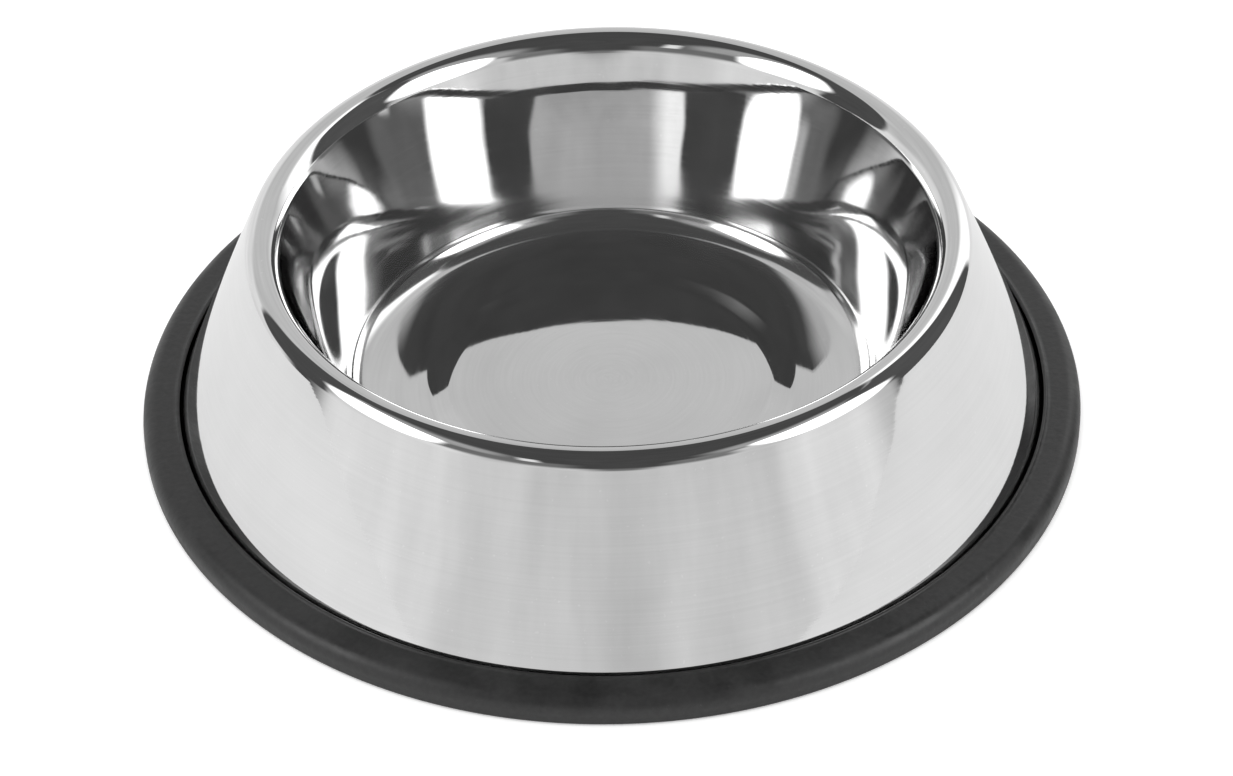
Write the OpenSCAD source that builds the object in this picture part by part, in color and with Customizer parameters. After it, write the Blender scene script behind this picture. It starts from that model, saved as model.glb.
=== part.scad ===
// Non-tip pet bowl: one pressed sheet of stainless steel makes the bowl, the rounded rim and the
// flared skirt, and its foot flange is bonded into a grooved rubber ring that the bowl stands on.
// Millimetres, +Z up, origin on the floor at the centre of the ring.

/* [Steel bowl] */
// Height of the rim above the floor
bowl_height = 59.5; // [50:0.5:80]
// Diameter along the top line of the rim
rim_diameter = 186.4; // [170:0.1:196]
// Radius of the rim bend at its top, on the polished face
rim_bend = 3.8; // [2.5:0.1:6]
// Radius where the rim runs out into the skirt
rim_outer_bend = 5.5; // [4:0.1:9]
// Radius where the rim runs out into the inner wall
rim_inner_bend = 10.5; // [6:0.5:16]
// Radius of the slight flare at the top of the inner wall
wall_flare = 500; // [200:10:900]
// Diameter of the flat ring of the bottom, inside the bowl
bottom_diameter = 112.5; // [100:0.5:124]
// Radius of the shallow curve around that flat ring
bottom_ease = 50; // [30:1:60]
// Radius of the curve from there into the wall
bottom_bend = 8; // [4:0.5:14]
// Gap between the underside of the bowl and the floor
bottom_clearance = 3.95; // [2:0.05:8]
// Thickness of the steel sheet
sheet = 0.6; // [0.4:0.05:1]

/* [Raised centre] */
// Width of the flat ring between the shallow curve and the slope of the raised centre
flat_ring_width = 4.25; // [1:0.25:8]
// Width of the slope around the raised centre
centre_slope = 8.7; // [7:0.1:10]
// Height of the raised centre over the flat ring
centre_rise = 0.95; // [0.3:0.05:1.6]
// Radius of the soft edges of that slope
centre_bend = 15; // [5:1:20]

/* [Skirt foot] */
// Radius of the bend from the skirt into its foot flange, on the polished face
foot_bend = 1.5; // [0.8:0.1:2.5]
// Width of the flat flange that the rubber grips
flange_width = 4.7; // [3:0.1:5]

/* [Rubber ring] */
// Outer diameter of the ring, the widest part of the bowl
ring_diameter = 260; // [256:1:320]
// Rubber between the flange edge and the outer face
ring_wall = 3.4; // [2.5:0.1:6]
// Rubber under the flange
ring_sole = 2; // [1.2:0.1:4]
// Rubber above the flange
ring_top = 4.5; // [3.2:0.05:6]
// How far the sole reaches in past the start of the flange
sole_reach = 5; // [2:0.1:12]
// Radius of the rounded outer shoulder
ring_shoulder = 4; // [1:0.1:5]
// Radius of the rounded lower edge
ring_edge = 1.1; // [0.4:0.1:1.8]
// Radius of the raised bead around the mouth of the groove
lip_bead = 0.6; // [0.3:0.05:0.8]
// Height of that bead above the top of the ring
lip_rise = 0.35; // [0.1:0.05:0.5]

/* [Fits] */
// Open gap between the skirt and the bead of the ring
mouth_gap = 0.6; // [0.4:0.1:1.5]
// Free space around the flange in its groove
groove_clearance = 0.15; // [0.05:0.05:0.3]
// Thickness of the adhesive under the flange
bond_thickness = 0.3; // [0.1:0.05:0.5]
// How far the adhesive stays back from both ends of the flange
bond_margin = 0.5; // [0.2:0.1:1]

/* [Hidden] */

// Turned surfaces and the arcs of the sections
$fn = 180;
arc_step = 3;

// Directions square to the floor, and half a turn
up_angle = 90;
down_angle = 270;
half_angle = 180;

// Directions at which one bend of the rim runs into the next, from the outward one
outer_run_angle = 73;
inner_run_angle = 134.5;
// How far the flare turns the wall, and the tilt at which the shallow curve meets the bottom bend
flare_angle = 2.3;
ease_angle = 13;

// Levels above the floor
bond_z = ring_sole;
flange_under_z = bond_z + bond_thickness;
flange_top_z = flange_under_z + sheet;
groove_top_z = flange_top_z + groove_clearance;
ring_top_z = flange_top_z + ring_top;
bottom_top_z = bottom_clearance + sheet;
centre_top_z = bottom_top_z + centre_rise;

// Radii from the axis
ring_r = ring_diameter / 2;
flange_edge_r = ring_r - ring_wall - groove_clearance;
groove_end_r = ring_r - ring_wall;
foot_r = flange_edge_r - flange_width;
sole_inner_r = foot_r - sole_reach;
centre_r = bottom_diameter / 2 - flat_ring_width - centre_slope;

function polar(centre, radius, angle) = centre + radius * [cos(angle), sin(angle)];

// Centres of the bends of the sheet, each as [radius from the axis, height]. Where one bend runs
// into the next, both centres lie on the line to the point where they meet.
foot_c = [foot_r, flange_top_z + foot_bend];
rim_c = [rim_diameter / 2, bowl_height - rim_bend];
rim_outer_c = polar(rim_c, rim_bend - rim_outer_bend, outer_run_angle);
rim_inner_c = polar(rim_c, rim_bend - rim_inner_bend, inner_run_angle);
ease_c = [bottom_diameter / 2, bottom_top_z + bottom_ease];
bottom_c = polar(ease_c, bottom_ease - bottom_bend, down_angle + ease_angle);
slope_low_c = [centre_r + centre_slope, bottom_top_z + centre_bend];
slope_high_c = [centre_r, centre_top_z - centre_bend];

// A straight wall touches one bend on one side and the next bend on its far side, so its normal
// turns away from the line of centres by this much
function wall_turn(a, b, reach) = acos(reach / norm(b - a));
function line_angle(a, b) = atan2(b[1] - a[1], b[0] - a[0]);

// Direction of the polished face's normal on the skirt, the inner wall and the centre's slope
skirt_normal = line_angle(rim_outer_c, foot_c)
    + wall_turn(rim_outer_c, foot_c, rim_outer_bend + foot_bend);
flare_reach = (wall_flare - rim_inner_bend) * (1 - cos(flare_angle));
wall_normal = line_angle(rim_inner_c, bottom_c) + 2 * half_angle
    - wall_turn(rim_inner_c, bottom_c, rim_inner_bend + bottom_bend + flare_reach);
slope_normal = line_angle(slope_high_c, slope_low_c)
    + wall_turn(slope_high_c, slope_low_c, 2 * centre_bend);
flare_start_angle = wall_normal - flare_angle;
flare_c = polar(rim_inner_c, rim_inner_bend - wall_flare, flare_start_angle);

// Points along an arc, both ends included
function arc(centre, radius, from, to) =
    let (steps = ceil(abs(to - from) / arc_step))
    [for (i = [0:steps]) polar(centre, radius, from + (to - from) * i / steps)];

function reversed(points) = [for (i = [len(points) - 1:-1:0]) points[i]];

// All points but the first, for an arc that starts where the one before it ends
function after_first(points) = [for (i = [1:len(points) - 1]) points[i]];

// One face of the sheet from the flange edge over the rim to the axis. Depth 0 is the polished
// face and depth sheet is the hidden one.
function sheet_face(depth) = concat(
    [[flange_edge_r, flange_top_z - depth]],
    arc(foot_c, foot_bend + depth, down_angle, skirt_normal + half_angle),
    arc(rim_outer_c, rim_outer_bend - depth, skirt_normal, outer_run_angle),
    after_first(arc(rim_c, rim_bend - depth, outer_run_angle, inner_run_angle)),
    after_first(arc(rim_inner_c, rim_inner_bend - depth, inner_run_angle, flare_start_angle)),
    after_first(arc(flare_c, wall_flare - depth, flare_start_angle, wall_normal)),
    arc(bottom_c, bottom_bend + depth, wall_normal + half_angle, down_angle + ease_angle),
    after_first(arc(ease_c, bottom_ease + depth, down_angle + ease_angle, down_angle)),
    arc(slope_low_c, centre_bend + depth, down_angle, slope_normal + half_angle),
    arc(slope_high_c, centre_bend - depth, slope_normal, up_angle),
    [[0, centre_top_z - depth]]
);

module steel_bowl() {
    color([0.78, 0.79, 0.80])
        rotate_extrude()
            polygon(concat(sheet_face(0), reversed(sheet_face(sheet))));
}

// The inner face of the ring's mouth runs beside the skirt, mouth_gap away from it
mouth_offset = rim_outer_c * [cos(skirt_normal), sin(skirt_normal)] + rim_outer_bend + mouth_gap;
function mouth_r(z) = (mouth_offset - z * sin(skirt_normal)) / cos(skirt_normal);

// Bead around the mouth: its inner side touches the mouth's face
bead_z = ring_top_z + lip_rise - lip_bead;
bead_c = [mouth_r(bead_z) + lip_bead / cos(skirt_normal), bead_z];
bead_outer_angle = asin((lip_bead - lip_rise) / lip_bead);

shoulder_c = [ring_r - ring_shoulder, ring_top_z - ring_shoulder];
outer_edge_c = [ring_r - ring_edge, ring_edge];
inner_edge_c = [sole_inner_r + ring_edge, ring_edge];
// The sole's inner side is rounded above as it is below, as far as its thickness allows
sole_round = min(ring_edge, ring_sole - ring_edge);
sole_round_c = [sole_inner_r + sole_round, ring_sole - sole_round];

module rubber_ring() {
    color([0.07, 0.07, 0.075])
        rotate_extrude()
            polygon(concat(
                arc(inner_edge_c, ring_edge, half_angle, down_angle),
                arc(outer_edge_c, ring_edge, -up_angle, 0),
                arc(shoulder_c, ring_shoulder, 0, up_angle),
                arc(bead_c, lip_bead, bead_outer_angle, half_angle + skirt_normal),
                [
                    [mouth_r(groove_top_z), groove_top_z],
                    [groove_end_r, groove_top_z],
                    [groove_end_r, bond_z]
                ],
                arc(sole_round_c, sole_round, up_angle, half_angle)
            ));
}

module adhesive_bead() {
    bond_inner_r = foot_r + bond_margin;
    bond_width = flange_width - 2 * bond_margin;
    color([0.55, 0.53, 0.48])
        rotate_extrude()
            translate([bond_inner_r, bond_z])
                square([bond_width, bond_thickness]);
}

steel_bowl();
rubber_ring();
adhesive_bead();
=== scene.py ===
"""Looks of a non-tip steel pet bowl: polished steel, a rubber ring and a plain studio."""

import math

import bmesh
import bpy
from bpy.props import FloatProperty, FloatVectorProperty, IntProperty, PointerProperty
from mathutils import Matrix, Vector


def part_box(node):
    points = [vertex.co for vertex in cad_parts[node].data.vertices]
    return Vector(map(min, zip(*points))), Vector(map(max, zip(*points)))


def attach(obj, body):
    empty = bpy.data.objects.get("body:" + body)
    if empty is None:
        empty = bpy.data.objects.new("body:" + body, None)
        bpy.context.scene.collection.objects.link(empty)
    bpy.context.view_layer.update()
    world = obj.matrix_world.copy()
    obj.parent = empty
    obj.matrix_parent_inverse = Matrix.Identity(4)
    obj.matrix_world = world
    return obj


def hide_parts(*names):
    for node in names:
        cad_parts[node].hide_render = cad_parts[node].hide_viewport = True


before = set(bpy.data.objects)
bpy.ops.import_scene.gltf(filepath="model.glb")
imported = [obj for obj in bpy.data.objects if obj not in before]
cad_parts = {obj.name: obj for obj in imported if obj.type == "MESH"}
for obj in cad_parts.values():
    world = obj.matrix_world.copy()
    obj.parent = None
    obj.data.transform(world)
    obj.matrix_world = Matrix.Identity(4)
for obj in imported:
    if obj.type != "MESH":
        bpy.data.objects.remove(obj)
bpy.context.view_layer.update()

bl_info = {
    "name": "Non-tip steel bowl",
    "version": (1, 0, 0),
    "blender": (4, 5, 0),
    "location": "View3D > Sidebar > Steel bowl",
    "description": "Builds a polished steel pet bowl with a rubber foot ring and its studio",
    "category": "Object",
}

MM = 0.001
SPIN_AXIS = Vector((0, 0, 1))
SECTION_AXIS = Vector((0, -1, 0))
MERGE_DISTANCE = 0.002 * MM

# Directions in the section, in radians from the outward one
UP = 0.5 * math.pi
DOWN = 1.5 * math.pi
# Directions at which one bend of the rim runs into the next
OUTER_RUN = math.radians(73)
INNER_RUN = math.radians(134.5)
# How far the flare turns the wall, and the tilt at which the shallow curve meets the bottom bend
FLARE = math.radians(2.3)
EASE = math.radians(13)

# Steps of the sheet's section on the hidden face, from the flange edge to the axis. The polished
# face has FINE times as many, apart from the flat ring.
FINE = 2
SHEET_STEPS = {
    "foot bend": 12, "skirt": 8, "outer bend": 16, "rim bend": 20, "inner bend": 12, "flare": 6,
    "wall": 6, "bottom bend": 20, "ease": 8, "slope bend": 4, "slope": 2, "centre": 5,
}
FLAT_RING_STEPS = 2

# Steps of the ring's section, from its inner side around the outer one to the groove
RING_STEPS = {
    "inner edge": 6, "sole": 4, "outer edge": 8, "side": 3, "shoulder": 16, "top": 6, "bead": 14,
    "mouth": 4, "groove top": 4, "groove end": 2, "sole top": 4, "sole edge": 6,
}

steel_low, steel_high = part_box("steel_bowl")
ring_low, ring_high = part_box("rubber_ring")
bead_low, bead_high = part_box("adhesive_bead")


class SteelSizes(bpy.types.PropertyGroup):
    """Sizes of the pressed sheet, as the part's source has them."""

    rim_height: FloatProperty(
        name="Rim height", description="Height of the rim above the floor",
        default=steel_high.z, unit="LENGTH",
    )
    rim_radius: FloatProperty(
        name="Rim radius", description="Radius of the top line of the rim",
        default=93.2 * MM, unit="LENGTH",
    )
    rim_bend: FloatProperty(
        name="Rim bend", description="Radius of the rim bend at its top, on the polished face",
        default=3.8 * MM, unit="LENGTH",
    )
    rim_outer_bend: FloatProperty(
        name="Rim outer bend", description="Radius where the rim runs out into the skirt",
        default=5.5 * MM, unit="LENGTH",
    )
    rim_inner_bend: FloatProperty(
        name="Rim inner bend", description="Radius where the rim runs out into the inner wall",
        default=10.5 * MM, unit="LENGTH",
    )
    wall_flare: FloatProperty(
        name="Wall flare", description="Radius of the slight flare at the top of the inner wall",
        default=500 * MM, unit="LENGTH",
    )
    bottom_radius: FloatProperty(
        name="Bottom radius", description="Radius of the flat ring of the bottom",
        default=56.25 * MM, unit="LENGTH",
    )
    bottom_ease: FloatProperty(
        name="Bottom ease", description="Radius of the shallow curve around the flat ring",
        default=50 * MM, unit="LENGTH",
    )
    bottom_bend: FloatProperty(
        name="Bottom bend", description="Radius of the curve from there into the wall",
        default=8 * MM, unit="LENGTH",
    )
    bottom_height: FloatProperty(
        name="Bottom height", description="Height of the flat ring of the bottom above the floor",
        default=4.55 * MM, unit="LENGTH",
    )
    flat_ring: FloatProperty(
        name="Flat ring", description="Width of the flat ring around the raised centre's slope",
        default=4.25 * MM, unit="LENGTH",
    )
    centre_slope: FloatProperty(
        name="Centre slope", description="Width of the slope around the raised centre",
        default=8.7 * MM, unit="LENGTH",
    )
    centre_rise: FloatProperty(
        name="Centre rise", description="Height of the raised centre over the flat ring",
        default=0.95 * MM, unit="LENGTH",
    )
    centre_bend: FloatProperty(
        name="Centre bend", description="Radius of the soft edges of that slope",
        default=15 * MM, unit="LENGTH",
    )
    sheet: FloatProperty(
        name="Sheet", description="Thickness of the steel sheet",
        default=0.6 * MM, unit="LENGTH",
    )
    foot_bend: FloatProperty(
        name="Foot bend", description="Radius of the bend from the skirt into its flange",
        default=1.5 * MM, unit="LENGTH",
    )
    flange_width: FloatProperty(
        name="Flange width", description="Width of the flat flange held by the rubber",
        default=4.7 * MM, unit="LENGTH",
    )
    turns: IntProperty(
        name="Turn steps", description="Steps of the full turn", default=240, min=24,
    )


class RingSizes(bpy.types.PropertyGroup):
    """Sizes of the rubber ring around the foot."""

    wall: FloatProperty(
        name="Wall", description="Rubber outside the groove", default=3.4 * MM, unit="LENGTH",
    )
    sole_reach: FloatProperty(
        name="Sole reach", description="How far the sole reaches in past the flange",
        default=5 * MM, unit="LENGTH",
    )
    shoulder: FloatProperty(
        name="Shoulder", description="Radius of the rounded outer shoulder",
        default=4 * MM, unit="LENGTH",
    )
    edge: FloatProperty(
        name="Lower edge", description="Radius of the rounded lower edge",
        default=1.1 * MM, unit="LENGTH",
    )
    bead: FloatProperty(
        name="Mouth bead", description="Radius of the raised bead around the groove's mouth",
        default=0.6 * MM, unit="LENGTH",
    )
    rise: FloatProperty(
        name="Bead rise", description="Height of the bead above the top of the ring",
        default=0.35 * MM, unit="LENGTH",
    )
    mouth_gap: FloatProperty(
        name="Mouth gap", description="Open gap between the skirt and the bead",
        default=0.6 * MM, unit="LENGTH",
    )
    groove_clearance: FloatProperty(
        name="Groove clearance", description="Free space around the flange in its groove",
        default=0.15 * MM, unit="LENGTH",
    )


class FinishColours(bpy.types.PropertyGroup):
    """Colours of the finishes."""

    steel: FloatVectorProperty(
        name="Steel", description="Reflection colour of the polished steel", subtype="COLOR",
        default=(0.72, 0.72, 0.72), size=3, min=0, max=1,
    )
    rubber: FloatVectorProperty(
        name="Rubber", description="Colour of the moulded rubber", subtype="COLOR",
        default=(0.024, 0.024, 0.024), size=3, min=0, max=1,
    )
    adhesive: FloatVectorProperty(
        name="Adhesive", description="Colour of the set adhesive", subtype="COLOR",
        default=(0.3, 0.27, 0.2), size=3, min=0, max=1,
    )
    floor: FloatVectorProperty(
        name="Floor", description="Colour of the studio floor", subtype="COLOR",
        default=(0.86, 0.86, 0.86), size=3, min=0, max=1,
    )


def inner_reach(low, high):
    """The largest radius around the axis that stays inside a box."""
    return min(high.x, high.y, -low.x, -low.y)


def polar(centre, radius, angle):
    """A point of the section, angle in radians from the outward direction."""
    return Vector((centre.x + radius * math.cos(angle), 0, centre.z + radius * math.sin(angle)))


class Section:
    """A chain of edges in the XZ plane, drawn from point to point and around bends."""

    def __init__(self, mesh, start):
        self.mesh = mesh
        self.first = mesh.verts.new(start)
        self.tip = self.first

    def run_to(self, point, steps=1):
        """Extends the chain straight to a point in equal steps."""
        stride = (point - self.tip.co) / steps
        for _ in range(steps):
            made = bmesh.ops.extrude_vert_indiv(self.mesh, verts=[self.tip])
            self.tip = made["verts"][0]
            bmesh.ops.translate(self.mesh, verts=[self.tip], vec=stride)

    def bend(self, centre, angle, steps):
        """Extends the chain along an arc, anticlockwise where the angle is positive."""
        made = bmesh.ops.spin(
            self.mesh, geom=[self.tip], cent=centre, axis=SECTION_AXIS,
            angle=angle, steps=steps, use_merge=False,
        )
        self.tip = [item for item in made["geom_last"] if isinstance(item, bmesh.types.BMVert)][0]

    def close(self):
        """Joins the chain's end to its start."""
        self.mesh.edges.new((self.tip, self.first))


def linked_object(name, mesh):
    """Makes an object of a finished bmesh, frees the bmesh and puts the object into the scene."""
    data = bpy.data.meshes.new(name)
    mesh.to_mesh(data)
    mesh.free()
    made = bpy.data.objects.new(name, data)
    bpy.context.scene.collection.objects.link(made)
    return made


def turned_object(name, mesh, turns):
    """Spins a section a full turn around the bowl's axis and makes an object of it."""
    section = list(mesh.verts) + list(mesh.edges)
    bmesh.ops.spin(
        mesh, geom=section, cent=Vector(), axis=SPIN_AXIS,
        angle=2 * math.pi, steps=turns, use_merge=True,
    )
    bmesh.ops.remove_doubles(mesh, verts=mesh.verts, dist=MERGE_DISTANCE)
    bmesh.ops.recalc_face_normals(mesh, faces=mesh.faces)
    piece = linked_object(name, mesh)
    piece.data.shade_smooth()
    return piece


def line_angle(start, end):
    """Direction from one bend's centre to another's."""
    across = end - start
    return math.atan2(across.z, across.x)


def wall_turn(start, end, reach):
    """Turn from the line of centres to the normal of the straight wall between two bends."""
    return math.acos(reach / (end - start).length)


class SheetPlan:
    """Centres and angles of the bends of the sheet, each polished face tangent to the next."""

    def __init__(self, sizes):
        self.edge_radius = inner_reach(steel_low, steel_high)
        self.flange_top = bead_high.z + sizes.sheet
        self.centre_height = sizes.bottom_height + sizes.centre_rise
        self.place_bends(sizes)
        self.turn_walls(sizes)

    def place_bends(self, sizes):
        """Sets the centres of the bends, from the flange to the raised centre."""
        foot_radius = self.edge_radius - sizes.flange_width
        self.foot = Vector((foot_radius, 0, self.flange_top + sizes.foot_bend))
        self.rim = Vector((sizes.rim_radius, 0, sizes.rim_height - sizes.rim_bend))
        self.rim_outer = polar(self.rim, sizes.rim_bend - sizes.rim_outer_bend, OUTER_RUN)
        self.rim_inner = polar(self.rim, sizes.rim_bend - sizes.rim_inner_bend, INNER_RUN)
        self.ease = Vector((sizes.bottom_radius, 0, sizes.bottom_height + sizes.bottom_ease))
        self.bottom = polar(self.ease, sizes.bottom_ease - sizes.bottom_bend, DOWN + EASE)
        slope_end = sizes.bottom_radius - sizes.flat_ring
        slope_start = slope_end - sizes.centre_slope
        self.slope_low = Vector((slope_end, 0, sizes.bottom_height + sizes.centre_bend))
        self.slope_high = Vector((slope_start, 0, self.centre_height - sizes.centre_bend))

    def turn_walls(self, sizes):
        """Sets the directions of the walls' normals and the flare of the inner wall."""
        self.skirt_normal = line_angle(self.rim_outer, self.foot) + wall_turn(
            self.rim_outer, self.foot, sizes.rim_outer_bend + sizes.foot_bend)
        flare_reach = (sizes.wall_flare - sizes.rim_inner_bend) * (1 - math.cos(FLARE))
        wall_reach = sizes.rim_inner_bend + sizes.bottom_bend + flare_reach
        self.wall_normal = line_angle(self.rim_inner, self.bottom) + 2 * math.pi - wall_turn(
            self.rim_inner, self.bottom, wall_reach)
        self.slope_normal = line_angle(self.slope_high, self.slope_low) + wall_turn(
            self.slope_high, self.slope_low, 2 * sizes.centre_bend)
        self.flare_start = self.wall_normal - FLARE
        flare_shift = sizes.rim_inner_bend - sizes.wall_flare
        self.flare = polar(self.rim_inner, flare_shift, self.flare_start)


def draw_sheet_face(section, sizes, plan, depth, fine):
    """Draws a face of the sheet, depth under the polished one, from the flange edge inwards."""
    steps = {stretch: count * fine for stretch, count in SHEET_STEPS.items()}
    skirt_foot = plan.skirt_normal + math.pi
    wall_foot = plan.wall_normal + math.pi
    slope_foot = plan.slope_normal + math.pi
    section.run_to(Vector((plan.foot.x, 0, plan.flange_top - depth)))
    section.bend(plan.foot, skirt_foot - DOWN, steps["foot bend"])
    skirt_end = polar(plan.rim_outer, sizes.rim_outer_bend - depth, plan.skirt_normal)
    section.run_to(skirt_end, steps["skirt"])
    section.bend(plan.rim_outer, OUTER_RUN - plan.skirt_normal, steps["outer bend"])
    section.bend(plan.rim, INNER_RUN - OUTER_RUN, steps["rim bend"])
    section.bend(plan.rim_inner, plan.flare_start - INNER_RUN, steps["inner bend"])
    section.bend(plan.flare, FLARE, steps["flare"])
    wall_end = polar(plan.bottom, sizes.bottom_bend + depth, wall_foot)
    section.run_to(wall_end, steps["wall"])
    section.bend(plan.bottom, DOWN + EASE - wall_foot, steps["bottom bend"])
    section.bend(plan.ease, -EASE, steps["ease"])
    flat_end = Vector((plan.slope_low.x, 0, sizes.bottom_height - depth))
    section.run_to(flat_end, FLAT_RING_STEPS)
    section.bend(plan.slope_low, slope_foot - DOWN, steps["slope bend"])
    slope_end = polar(plan.slope_high, sizes.centre_bend - depth, plan.slope_normal)
    section.run_to(slope_end, steps["slope"])
    section.bend(plan.slope_high, UP - plan.slope_normal, steps["slope bend"])
    section.run_to(Vector((0, 0, plan.centre_height - depth)), steps["centre"])


def build_steel(sizes):
    """Turns the pressed sheet: polished face, flange edge and hidden face as one closed shell."""
    plan = SheetPlan(sizes)
    mesh = bmesh.new()
    polished = Section(mesh, Vector((plan.edge_radius, 0, plan.flange_top)))
    draw_sheet_face(polished, sizes, plan, 0, FINE)
    hidden = Section(mesh, Vector((plan.edge_radius, 0, plan.flange_top - sizes.sheet)))
    draw_sheet_face(hidden, sizes, plan, sizes.sheet, 1)
    mesh.edges.new((polished.first, hidden.first))
    return turned_object("steel_shell", mesh, sizes.turns)


def build_ring(steel, ring):
    """Turns the rubber ring with its groove, mouth bead and rounded edges."""
    plan = SheetPlan(steel)
    slope = plan.skirt_normal
    outer = inner_reach(ring_low, ring_high)
    sole_top = bead_low.z
    groove_end = outer - ring.wall
    groove_top = plan.flange_top + ring.groove_clearance
    top = ring_high.z - ring.rise
    inner = plan.foot.x - ring.sole_reach
    reach = plan.rim_outer.x * math.cos(slope) + plan.rim_outer.z * math.sin(slope)
    reach += steel.rim_outer_bend

    def mouth(z):
        """Radius of the mouth's face at a height."""
        return (reach + ring.mouth_gap - z * math.sin(slope)) / math.cos(slope)

    bead_z = ring_high.z - ring.bead
    bead = Vector((mouth(bead_z) + ring.bead / math.cos(slope), 0, bead_z))
    bead_start = math.asin((ring.bead - ring.rise) / ring.bead)
    sole_round = min(ring.edge, sole_top - ring.edge)
    inner_edge = Vector((inner + ring.edge, 0, ring.edge))
    outer_edge = Vector((outer - ring.edge, 0, ring.edge))
    shoulder = Vector((outer - ring.shoulder, 0, top - ring.shoulder))
    sole_edge = Vector((inner + sole_round, 0, sole_top - sole_round))
    mesh = bmesh.new()
    section = Section(mesh, polar(inner_edge, ring.edge, math.pi))
    section.bend(inner_edge, UP, RING_STEPS["inner edge"])
    section.run_to(polar(outer_edge, ring.edge, -UP), RING_STEPS["sole"])
    section.bend(outer_edge, UP, RING_STEPS["outer edge"])
    section.run_to(polar(shoulder, ring.shoulder, 0), RING_STEPS["side"])
    section.bend(shoulder, UP, RING_STEPS["shoulder"])
    section.run_to(polar(bead, ring.bead, bead_start), RING_STEPS["top"])
    section.bend(bead, math.pi + slope - bead_start, RING_STEPS["bead"])
    section.run_to(Vector((mouth(groove_top), 0, groove_top)), RING_STEPS["mouth"])
    section.run_to(Vector((groove_end, 0, groove_top)), RING_STEPS["groove top"])
    section.run_to(Vector((groove_end, 0, sole_top)), RING_STEPS["groove end"])
    section.run_to(polar(sole_edge, sole_round, UP), RING_STEPS["sole top"])
    section.bend(sole_edge, UP, RING_STEPS["sole edge"])
    section.close()
    return turned_object("rubber_ring_body", mesh, steel.turns)


# Where a Mix node has its two values and its result, by its data type
MIX_SOCKETS = {"FLOAT": (2, 3, 0), "RGBA": (6, 7, 2)}


def feed(tree, socket, value):
    """Links an output to an input socket, or sets the input to a plain value."""
    if isinstance(value, bpy.types.NodeSocket):
        tree.links.new(value, socket)
    else:
        socket.default_value = value


def new_material(name, shader_type):
    """A node material with one shader on its output, its tree and the shader's inputs."""
    material = bpy.data.materials.new(name)
    material.use_nodes = True
    tree = material.node_tree
    tree.nodes.clear()
    shader = tree.nodes.new(shader_type)
    output = tree.nodes.new("ShaderNodeOutputMaterial")
    tree.links.new(shader.outputs[0], output.inputs["Surface"])
    return material, tree, shader.inputs


def math_node(tree, operation, *values):
    """A Math node on sockets or numbers."""
    node = tree.nodes.new("ShaderNodeMath")
    node.operation = operation
    for socket, value in zip(node.inputs, values):
        feed(tree, socket, value)
    return node.outputs[0]


def length_node(tree, side, other):
    """Length of the diagonal over two sides."""
    squares = [math_node(tree, "MULTIPLY", value, value) for value in (side, other)]
    return math_node(tree, "SQRT", math_node(tree, "ADD", *squares))


def range_node(tree, value, low, high, new_low, new_high, smooth=False):
    """Maps a value from one range to another, kept inside it."""
    node = tree.nodes.new("ShaderNodeMapRange")
    if smooth:
        node.interpolation_type = "SMOOTHSTEP"
    for socket, given in zip(node.inputs, (value, low, high, new_low, new_high)):
        feed(tree, socket, given)
    return node.outputs["Result"]


def mix_node(tree, data_type, factor, first, second):
    """A number or colour between two others, by a factor from 0 to 1."""
    node = tree.nodes.new("ShaderNodeMix")
    node.data_type = data_type
    first_at, second_at, result_at = MIX_SOCKETS[data_type]
    for at, value in ((0, factor), (first_at, first), (second_at, second)):
        feed(tree, node.inputs[at], value)
    return node.outputs[result_at]


def tinted(tree, value, colour, tints):
    """A colour from a darker to a lighter tint of one colour, by a value from 0 to 1."""
    dark, light = ([min(1, channel * tint) for channel in colour] for tint in tints)
    return mix_node(tree, "RGBA", value, (*dark, 1), (*light, 1))


def stacked_bumps(tree, *layers):
    """The normal that bumps give on top of each other, each a height and its depth in metres."""
    normal = None
    for height, depth in layers:
        node = tree.nodes.new("ShaderNodeBump")
        feed(tree, node.inputs["Height"], height)
        feed(tree, node.inputs["Distance"], depth)
        if normal is not None:
            feed(tree, node.inputs["Normal"], normal)
        normal = node.outputs[0]
    return normal


def new_group(name, inputs, output):
    """A node group of numbers: its tree, the values that enter and the socket they leave by."""
    tree = bpy.data.node_groups.new(name, "ShaderNodeTree")
    for label in inputs:
        tree.interface.new_socket(label, in_out="INPUT", socket_type="NodeSocketFloat")
    tree.interface.new_socket(output, in_out="OUTPUT", socket_type="NodeSocketFloat")
    entry = tree.nodes.new("NodeGroupInput")
    leave = tree.nodes.new("NodeGroupOutput")
    return tree, entry.outputs, leave.inputs[0]


def use_group(tree, name, make, values):
    """Puts a shared group, made where it is missing, into a tree and feeds its inputs by name."""
    node = tree.nodes.new("ShaderNodeGroup")
    node.node_tree = bpy.data.node_groups.get(name) or make(name)
    for label, value in values.items():
        feed(tree, node.inputs[label], value)
    return node.outputs[0]


def object_place(tree):
    """Object coordinates, whole and split."""
    place = tree.nodes.new("ShaderNodeTexCoord").outputs["Object"]
    split = tree.nodes.new("ShaderNodeSeparateXYZ")
    feed(tree, split.inputs[0], place)
    return place, split.outputs


# Keeps the turned noise's division finite on the axis
SMALLEST_RADIUS = 1 * MM


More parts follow.
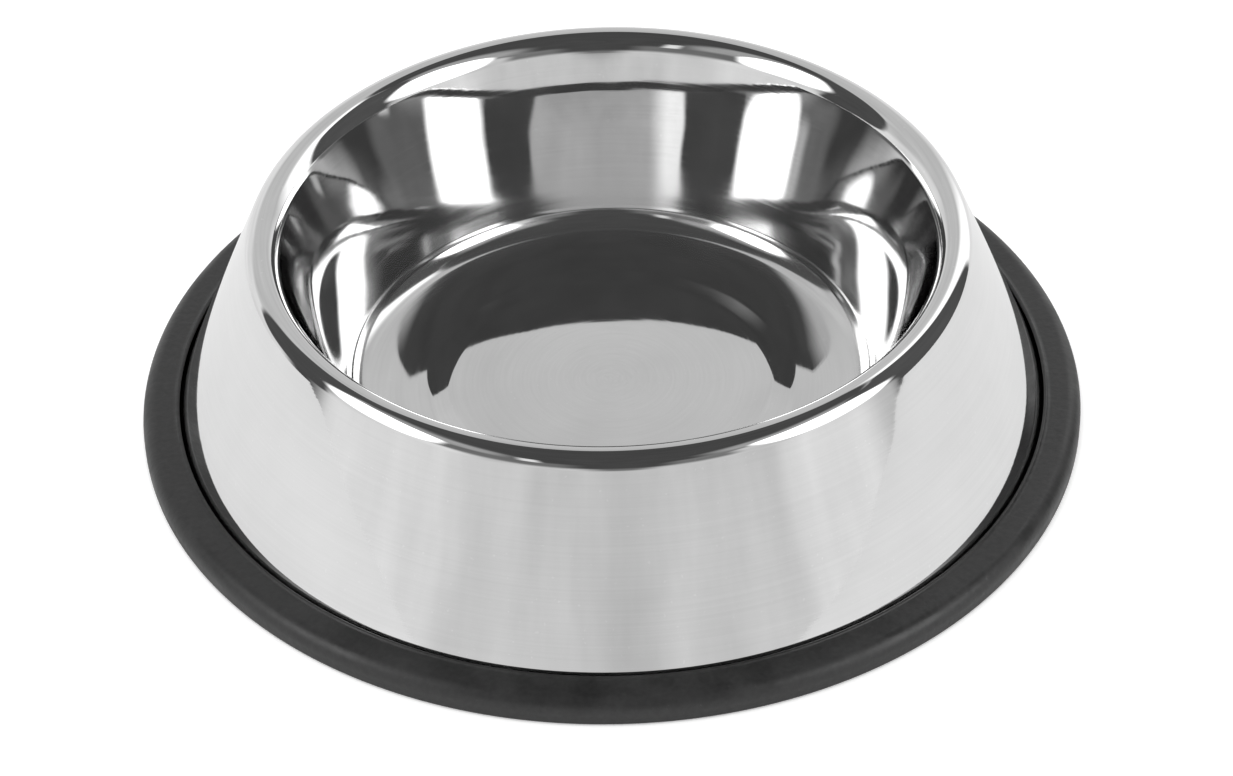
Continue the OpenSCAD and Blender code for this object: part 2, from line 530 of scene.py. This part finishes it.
def turned_noise_group(name):
    """Makes noise drawn out around the bowl's axis, as turning and polishing leave it."""
    tree, entry, leave = new_group(name, ("Around", "Across", "Detail"), "Value")
    _, place = object_place(tree)
    radius = length_node(tree, place["X"], place["Y"])
    reach = math_node(tree, "MAXIMUM", radius, SMALLEST_RADIUS)
    joined = tree.nodes.new("ShaderNodeCombineXYZ")
    for label in "XY":
        turn = math_node(tree, "DIVIDE", place[label], reach)
        feed(tree, joined.inputs[label], math_node(tree, "MULTIPLY", turn, entry["Around"]))
    feed(tree, joined.inputs["Z"], math_node(tree, "MULTIPLY", place["Z"], entry["Across"]))
    noise = tree.nodes.new("ShaderNodeTexNoise")
    noise.noise_dimensions = "4D"
    feed(tree, noise.inputs["Scale"], 1)
    feed(tree, noise.inputs["Vector"], joined.outputs[0])
    feed(tree, noise.inputs["W"], math_node(tree, "MULTIPLY", radius, entry["Across"]))
    feed(tree, noise.inputs["Detail"], entry["Detail"])
    feed(tree, leave, noise.outputs[0])
    return tree


def grain_group(name):
    """Makes noise the same in every direction."""
    tree, entry, leave = new_group(name, ("Scale", "Detail"), "Value")
    place, _ = object_place(tree)
    noise = tree.nodes.new("ShaderNodeTexNoise")
    feed(tree, noise.inputs["Vector"], place)
    for label in ("Scale", "Detail"):
        feed(tree, noise.inputs[label], entry[label])
    feed(tree, leave, noise.outputs[0])
    return tree


def turned_noise(tree, around, across, detail):
    """Puts the turned noise into a material."""
    values = {"Around": around, "Across": across, "Detail": detail}
    return use_group(tree, "turned noise", turned_noise_group, values)


def grain(tree, scale, detail):
    """Puts the plain grain into a material."""
    return use_group(tree, "grain", grain_group, {"Scale": scale, "Detail": detail})


# Finishes. A grain is given by its scale, in waves per metre, and its detail, in octaves, and a
# turned noise by its scale around the axis, its scale across it in waves per metre, and its detail.
# A range has the low and high of a noise and the two values that they become. Tints are the
# darkest and the lightest share of a finish's colour. Depths are those of the bumps.
STEEL_LINES = (1.6, 1500, 3)
STEEL_SMUDGES = (45, 4)
STEEL_SPECKS = (1100, 0)
STEEL_WAVES = (26, 0)
STEEL_RIPPLES = (75, 0)
LINE_SHADE = (0.25, 0.75, 0.1, 0.5)
SMUDGE_SHADE = (0.3, 0.7, 0, 0.4)
SPECK_SHADE = (0.8, 0.84, 0, 0.5)
STEEL_TINTS = (0.93, 1.06)
SMUDGE_ROUGHNESS = (0.35, 0.7, 0.016, 0.04)
LINE_ROUGHNESS = (0.45, 0.8, 0, 0.035)
DRAWN_ROUGHNESS = 0.07
WAVE_DEPTH = 0.3 * MM
RIPPLE_DEPTH = 0.03 * MM
LINE_DEPTH = 0.0012 * MM

# Where the drawn area fades in outside the bottom, fades out before the rim, and fades out upwards
DRAWN_FROM = (60 * MM, 69 * MM)
DRAWN_TO = (84 * MM, 92 * MM)
DRAWN_UP_TO = (10 * MM, 28 * MM)


def drawn_area(tree):
    """1 low on the inner wall, where drawing leaves the sheet less smooth, and 0 elsewhere."""
    _, place = object_place(tree)
    reach = length_node(tree, place["X"], place["Y"])
    beyond_bottom = range_node(tree, reach, *DRAWN_FROM, 0, 1, smooth=True)
    inside_rim = range_node(tree, reach, *DRAWN_TO, 1, 0, smooth=True)
    low = range_node(tree, place["Z"], *DRAWN_UP_TO, 1, 0, smooth=True)
    around = math_node(tree, "MULTIPLY", beyond_bottom, inside_rim)
    return math_node(tree, "MULTIPLY", around, low)


def steel_material(colour):
    """Mirror-polished stainless steel: faint lines around the axis, smudges and slight waves."""
    material, tree, inputs = new_material("polished steel", "ShaderNodeBsdfPrincipled")
    lines = turned_noise(tree, *STEEL_LINES)
    smudges = grain(tree, *STEEL_SMUDGES)
    shade = math_node(
        tree, "ADD", range_node(tree, lines, *LINE_SHADE),
        range_node(tree, smudges, *SMUDGE_SHADE))
    specks = range_node(tree, grain(tree, *STEEL_SPECKS), *SPECK_SHADE)
    shade = math_node(tree, "ADD", shade, specks)
    roughness = math_node(
        tree, "ADD", range_node(tree, smudges, *SMUDGE_ROUGHNESS),
        range_node(tree, lines, *LINE_ROUGHNESS))
    drawn = math_node(tree, "MULTIPLY", drawn_area(tree), DRAWN_ROUGHNESS)
    feed(tree, inputs["Metallic"], 1)
    feed(tree, inputs["Base Color"], tinted(tree, shade, colour, STEEL_TINTS))
    feed(tree, inputs["Roughness"], math_node(tree, "ADD", roughness, drawn))
    feed(tree, inputs["Normal"], stacked_bumps(
        tree, (grain(tree, *STEEL_WAVES), WAVE_DEPTH),
        (grain(tree, *STEEL_RIPPLES), RIPPLE_DEPTH),
        (lines, LINE_DEPTH)))
    return material


RUBBER_PATCHES = (90, 4)
RUBBER_FINE_GRAIN = (700, 3)
RUBBER_DUST = (950, 2)
RUBBER_UNEVENNESS = (40, 120, 2)
PATCH_SHADE = (0.3, 0.7, 0, 0.45)
FINE_GRAIN_SHADE = (0.3, 0.7, 0, 0.35)
DUST_SHADE = (0.7, 0.78, 0, 0.6)
RUBBER_TINTS = (0.5, 1.4)
RUBBER_ROUGHNESS = (0.3, 0.7, 0.36, 0.55)
UNEVENNESS_DEPTH = 0.12 * MM
FINE_GRAIN_DEPTH = 0.07 * MM


def rubber_material(colour):
    """Matt moulded rubber with fine grain, uneven patches and a little dust."""
    material, tree, inputs = new_material("black rubber", "ShaderNodeBsdfPrincipled")
    patches = grain(tree, *RUBBER_PATCHES)
    fine_grain = grain(tree, *RUBBER_FINE_GRAIN)
    mottle = math_node(
        tree, "ADD", range_node(tree, patches, *PATCH_SHADE),
        range_node(tree, fine_grain, *FINE_GRAIN_SHADE))
    dust = range_node(tree, grain(tree, *RUBBER_DUST), *DUST_SHADE)
    shade = math_node(tree, "ADD", mottle, dust)
    feed(tree, inputs["Base Color"], tinted(tree, shade, colour, RUBBER_TINTS))
    feed(tree, inputs["Roughness"], range_node(tree, patches, *RUBBER_ROUGHNESS))
    feed(tree, inputs["Normal"], stacked_bumps(
        tree, (turned_noise(tree, *RUBBER_UNEVENNESS), UNEVENNESS_DEPTH),
        (fine_grain, FINE_GRAIN_DEPTH)))
    return material


ADHESIVE_CLOUDS = (300, 3)
ADHESIVE_TINTS = (0.8, 1.2)
ADHESIVE_ROUGHNESS = (0.3, 0.7, 0.4, 0.6)
CLOUD_DEPTH = 0.1 * MM


def adhesive_material(colour):
    """Set adhesive, cloudy and slightly uneven."""
    material, tree, inputs = new_material("set adhesive", "ShaderNodeBsdfPrincipled")
    clouds = grain(tree, *ADHESIVE_CLOUDS)
    feed(tree, inputs["Base Color"], tinted(tree, clouds, colour, ADHESIVE_TINTS))
    feed(tree, inputs["Roughness"], range_node(tree, clouds, *ADHESIVE_ROUGHNESS))
    feed(tree, inputs["Normal"], stacked_bumps(tree, (clouds, CLOUD_DEPTH)))
    return material


# The studio stands around the bowl as one round screen that only the polished faces see
SCREEN_RADIUS = 535 * MM
SCREEN_HEIGHT = 900 * MM
SCREEN_CENTRE = Vector((25 * MM, -185 * MM, 0))
SCREEN_SIDES = 96
MM_PER_DEGREE = math.radians(SCREEN_RADIUS / MM)
HALF_TURN = 180

# Brightness of the screen between its panels, and a slight unevenness that multiplies it all
SCREEN_BASE = 0.08
SCREEN_FOLDS = (7, 4)
FOLD_BRIGHTNESS = (0.3, 0.7, 0.9, 1.09)

# Panels of the screen, later ones over earlier ones, in degrees and millimetres: name, azimuth
# (0 behind the bowl, 90 at its right), height, half angle, half height, corner radius, width of
# the soft edge, lean, brightness
SCREEN_PANELS = (
    ("left haze", -100, 560, 34, 330, 200, 200, 0.1, 0.45),
    ("right haze", 108, 560, 34, 330, 200, 200, 0, 0.45),
    ("front haze", 180, 110, 70, 170, 60, 160, 0, 0.24),
    ("left rear haze", -136, 400, 26, 150, 80, 120, 0, 0.2),
    ("right rear haze", 140, 380, 22, 150, 80, 120, 0, 0.24),
    ("front band", 180, 0, 100, 160, 20, 70, 0, 0.68),
    ("left wing", -128, 60, 42, 210, 60, 150, 0, 0.78),
    ("right wing", 130, 60, 40, 200, 60, 150, 0, 0.78),
    ("left low light", -101, 60, 23, 200, 60, 120, 0, 0.95),
    ("right low light", 107, 20, 15, 120, 60, 120, 0, 0.97),
    ("right side light", 127, 300, 10, 180, 60, 80, 0, 0.75),
    ("back board", 0, 240, 64, 400, 60, 90, 0, 0.67),
    ("board foot", -4, 0, 42, 120, 30, 120, 0, 0.85),
    ("left foot light", -44, 60, 20, 110, 40, 80, 0.3, 0.95),
    ("right glow", 42, 330, 16, 300, 60, 130, 0, 1.7),
    ("left gap", -55, 400, 14, 320, 60, 26, 0.35, 0.09),
    ("right gap", 59.5, 260, 19.5, 390, 40, 26, 0, 0.1),
    ("small lamp", -143, 620, 4, 110, 15, 50, 0.2, 1),
    ("left softbox", -91, 440, 21.5, 230, 170, 75, 0.15, 3.5),
    ("right softbox", 103, 400, 23, 260, 180, 75, 0.1, 3.5),
)


def panel_group(name):
    """Makes a soft-edged panel of the screen: 1 inside it, 0 outside."""
    labels = ("Azimuth", "Height", "Centre azimuth", "Centre height", "Half angle", "Half height",
              "Corner", "Softness", "Lean")
    tree, entry, leave = new_group(name, labels, "Mask")
    turn = math_node(tree, "SUBTRACT", entry["Azimuth"], entry["Centre azimuth"])
    turn = math_node(tree, "WRAP", turn, HALF_TURN, -HALF_TURN)
    up = math_node(tree, "SUBTRACT", entry["Height"], entry["Centre height"])
    across = math_node(
        tree, "SUBTRACT", math_node(tree, "MULTIPLY", turn, MM_PER_DEGREE),
        math_node(tree, "MULTIPLY", entry["Lean"], up))
    half_width = math_node(tree, "MULTIPLY", entry["Half angle"], MM_PER_DEGREE)
    excess = []
    for distance, half in ((across, half_width), (up, entry["Half height"])):
        inside = math_node(tree, "SUBTRACT", half, entry["Corner"])
        excess.append(math_node(tree, "SUBTRACT", math_node(tree, "ABSOLUTE", distance), inside))
    outside = length_node(tree, *[math_node(tree, "MAXIMUM", value, 0) for value in excess])
    within = math_node(tree, "MINIMUM", math_node(tree, "MAXIMUM", *excess), 0)
    edge = math_node(tree, "SUBTRACT", math_node(tree, "ADD", outside, within), entry["Corner"])
    reach = math_node(tree, "MULTIPLY", entry["Softness"], 0.5)
    start = math_node(tree, "MULTIPLY", reach, -1)
    feed(tree, leave, range_node(tree, edge, start, reach, 1, 0, smooth=True))
    return tree


def screen_material():
    """The lights and dark gaps of the studio, in degrees around and millimetres up the screen."""
    material, tree, inputs = new_material("studio screen", "ShaderNodeEmission")
    _, place = object_place(tree)
    side = math_node(tree, "SUBTRACT", place["X"], SCREEN_CENTRE.x)
    back = math_node(tree, "SUBTRACT", place["Y"], SCREEN_CENTRE.y)
    azimuth = math_node(tree, "MULTIPLY", math_node(tree, "ARCTAN2", side, back), math.degrees(1))
    # On the flat top the way inwards counts on as height
    inward = math_node(tree, "SUBTRACT", SCREEN_RADIUS, length_node(tree, side, back))
    height = math_node(tree, "MULTIPLY", math_node(tree, "ADD", place["Z"], inward), 1 / MM)
    level = SCREEN_BASE
    for name, centre, up, angle, half_height, corner, soft, lean, brightness in SCREEN_PANELS:
        mask = use_group(tree, "screen panel", panel_group, {
            "Azimuth": azimuth, "Height": height,
            "Centre azimuth": centre, "Centre height": up,
            "Half angle": angle, "Half height": half_height,
            "Corner": min(corner, angle * MM_PER_DEGREE, half_height),
            "Softness": soft, "Lean": lean,
        })
        level = mix_node(tree, "FLOAT", mask, level, brightness)
        level.node.label = name
    folds = range_node(tree, grain(tree, *SCREEN_FOLDS), *FOLD_BRIGHTNESS)
    feed(tree, inputs["Color"], math_node(tree, "MULTIPLY", level, folds))
    return material


def build_screen():
    """The round screen with its flat top, seen in mirrors only."""
    mesh = bmesh.new()
    bmesh.ops.create_cone(
        mesh, cap_ends=True, segments=SCREEN_SIDES, radius1=SCREEN_RADIUS, radius2=SCREEN_RADIUS,
        depth=2 * SCREEN_HEIGHT, matrix=Matrix.Translation(SCREEN_CENTRE))
    screen = linked_object("screen", mesh)
    screen.data.materials.append(screen_material())
    for ray in ("camera", "diffuse", "transmission", "volume_scatter", "shadow"):
        setattr(screen, "visible_" + ray, False)


# Strength of the world's even light, and of the white that the camera and mirrors see instead
WORLD_LIGHT = 0.75
WORLD_WHITE = 1
# Glow of the floor for the camera and for mirrors, and what the camera alone sees on top of it
FLOOR_GLOW = 0.04
FLOOR_CAMERA_GLOW = 0.3
# Metres and watts
FLOOR_HALF_WIDTH = 4
LAMP_SIZE = 1.2
LAMP_ENERGY = 9
LAMP_PLACE = Vector((-0.1, -0.2, 1.4))


def seen_directly(tree):
    """1 for camera, glossy and transmission rays."""
    path = tree.nodes.new("ShaderNodeLightPath").outputs
    seen = math_node(tree, "MAXIMUM", path["Is Camera Ray"], path["Is Glossy Ray"])
    return math_node(tree, "MAXIMUM", seen, path["Is Transmission Ray"])


def build_world():
    """White to the camera, to mirrors and through clear things, and even soft light elsewhere."""
    world = bpy.data.worlds.new("studio")
    bpy.context.scene.world = world
    world.use_nodes = True
    tree = world.node_tree
    tree.nodes.clear()
    mix = tree.nodes.new("ShaderNodeMixShader")
    feed(tree, mix.inputs[0], seen_directly(tree))
    for socket, strength in zip(mix.inputs[1:], (WORLD_LIGHT, WORLD_WHITE)):
        glow = tree.nodes.new("ShaderNodeBackground")
        feed(tree, glow.inputs["Color"], (1, 1, 1, 1))
        feed(tree, glow.inputs["Strength"], strength)
        feed(tree, socket, glow.outputs[0])
    output = tree.nodes.new("ShaderNodeOutputWorld")
    feed(tree, output.inputs["Surface"], mix.outputs[0])


def floor_material(colour):
    """Pale table that keeps the shadow, with a faint glow for mirrors and more for the camera."""
    material, tree, inputs = new_material("studio floor", "ShaderNodeAddShader")
    diffuse = tree.nodes.new("ShaderNodeBsdfDiffuse")
    feed(tree, diffuse.inputs["Color"], (*colour, 1))
    camera_ray = tree.nodes.new("ShaderNodeLightPath").outputs["Is Camera Ray"]
    strength = math_node(
        tree, "ADD", math_node(tree, "MULTIPLY", seen_directly(tree), FLOOR_GLOW),
        math_node(tree, "MULTIPLY", camera_ray, FLOOR_CAMERA_GLOW))
    glow = tree.nodes.new("ShaderNodeEmission")
    feed(tree, glow.inputs["Strength"], strength)
    for socket, shader in zip(inputs, (diffuse, glow)):
        feed(tree, socket, shader.outputs[0])
    return material


def build_floor(colour):
    """A wide plain floor."""
    mesh = bmesh.new()
    bmesh.ops.create_grid(mesh, x_segments=1, y_segments=1, size=FLOOR_HALF_WIDTH)
    floor = linked_object("floor", mesh)
    floor.data.materials.append(floor_material(colour))


def build_lamp():
    """One large soft lamp overhead that the steel doesn't mirror."""
    lamp = bpy.data.lights.new("overhead", "AREA")
    lamp.shape = "SQUARE"
    lamp.size = LAMP_SIZE
    lamp.energy = LAMP_ENERGY
    holder = bpy.data.objects.new("overhead", lamp)
    holder.location = LAMP_PLACE
    holder.rotation_euler = (-LAMP_PLACE).to_track_quat("-Z", "Y").to_euler()
    holder.visible_glossy = False
    holder.visible_camera = False
    bpy.context.scene.collection.objects.link(holder)


# The photograph's camera: its frame and focal length in pixels, its sensor in millimetres and its
# place and tilt against the bowl
IMAGE_WIDTH_PX = 1233
FOCAL_PX = 3399
SENSOR_WIDTH = 36
CAMERA_DISTANCE = 950 * MM
CAMERA_ELEVATION = math.radians(39.81)
CAMERA_PITCH = math.radians(39.72)
CAMERA_ROLL = math.radians(-1.22)
CAMERA_SIDE = 1.4 * MM
CAMERA_CLIP = 20 * MM


def build_camera():
    """The camera at the photograph's place, tilt and roll."""
    data = bpy.data.cameras.new("camera")
    data.sensor_width = SENSOR_WIDTH
    data.lens = FOCAL_PX / IMAGE_WIDTH_PX * SENSOR_WIDTH
    data.clip_start = CAMERA_CLIP
    camera = bpy.data.objects.new("camera", data)
    place = Matrix.Translation((
        CAMERA_SIDE,
        -CAMERA_DISTANCE * math.cos(CAMERA_ELEVATION),
        CAMERA_DISTANCE * math.sin(CAMERA_ELEVATION),
    ))
    tilt = Matrix.Rotation(math.pi / 2 - CAMERA_PITCH, 4, "X")
    camera.matrix_world = place @ tilt @ Matrix.Rotation(CAMERA_ROLL, 4, "Z")
    bpy.context.scene.collection.objects.link(camera)
    bpy.context.scene.camera = camera


class BOWL_OT_steel(bpy.types.Operator):
    """Build the polished steel shell"""

    bl_idname = "bowl.steel"
    bl_label = "Steel shell"

    def execute(self, context):
        shell = build_steel(context.scene.bowl_steel)
        shell.data.materials.append(steel_material(context.scene.bowl_colours.steel))
        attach(shell, "root")
        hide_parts("steel_bowl")
        return {"FINISHED"}


class BOWL_OT_ring(bpy.types.Operator):
    """Build the rubber ring"""

    bl_idname = "bowl.ring"
    bl_label = "Rubber ring"

    def execute(self, context):
        ring = build_ring(context.scene.bowl_steel, context.scene.bowl_ring)
        ring.data.materials.append(rubber_material(context.scene.bowl_colours.rubber))
        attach(ring, "root")
        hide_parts("rubber_ring")
        return {"FINISHED"}


class BOWL_OT_adhesive(bpy.types.Operator):
    """Give the adhesive its finish"""

    bl_idname = "bowl.adhesive"
    bl_label = "Adhesive"

    def execute(self, context):
        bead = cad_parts["adhesive_bead"]
        bead.material_slots[0].material = adhesive_material(context.scene.bowl_colours.adhesive)
        return {"FINISHED"}


class BOWL_OT_stage(bpy.types.Operator):
    """Build the world, screen, floor, lamp and camera"""

    bl_idname = "bowl.stage"
    bl_label = "Studio"

    def execute(self, context):
        context.scene.view_settings.view_transform = "Standard"
        build_world()
        build_screen()
        build_floor(context.scene.bowl_colours.floor)
        build_lamp()
        build_camera()
        return {"FINISHED"}


class BOWL_PT_panel(bpy.types.Panel):
    """Lists the steps and their sizes"""

    bl_idname = "BOWL_PT_panel"
    bl_label = "Steel bowl"
    bl_space_type = "VIEW_3D"
    bl_region_type = "UI"
    bl_category = "Steel bowl"

    def draw(self, context):
        for operator in OPERATORS:
            self.layout.operator(operator.bl_idname)
        for name in GROUPS:
            group = getattr(context.scene, name)
            for key in group.__annotations__:
                self.layout.prop(group, key)


OPERATORS = (BOWL_OT_stage, BOWL_OT_steel, BOWL_OT_ring, BOWL_OT_adhesive)
GROUPS = {"bowl_steel": SteelSizes, "bowl_ring": RingSizes, "bowl_colours": FinishColours}


def register():
    """Registers the classes and hangs the sizes on the scene."""
    for name, group in GROUPS.items():
        bpy.utils.register_class(group)
        setattr(bpy.types.Scene, name, PointerProperty(type=group))
    for item in (*OPERATORS, BOWL_PT_panel):
        bpy.utils.register_class(item)


def unregister():
    """Undoes register."""
    for item in reversed((*OPERATORS, BOWL_PT_panel)):
        bpy.utils.unregister_class(item)
    for name, group in GROUPS.items():
        delattr(bpy.types.Scene, name)
        bpy.utils.unregister_class(group)


def main():
    """Builds everything in order."""
    register()
    bpy.ops.bowl.stage()
    bpy.ops.bowl.steel()
    bpy.ops.bowl.ring()
    bpy.ops.bowl.adhesive()


if __name__ == "__main__":
    main()
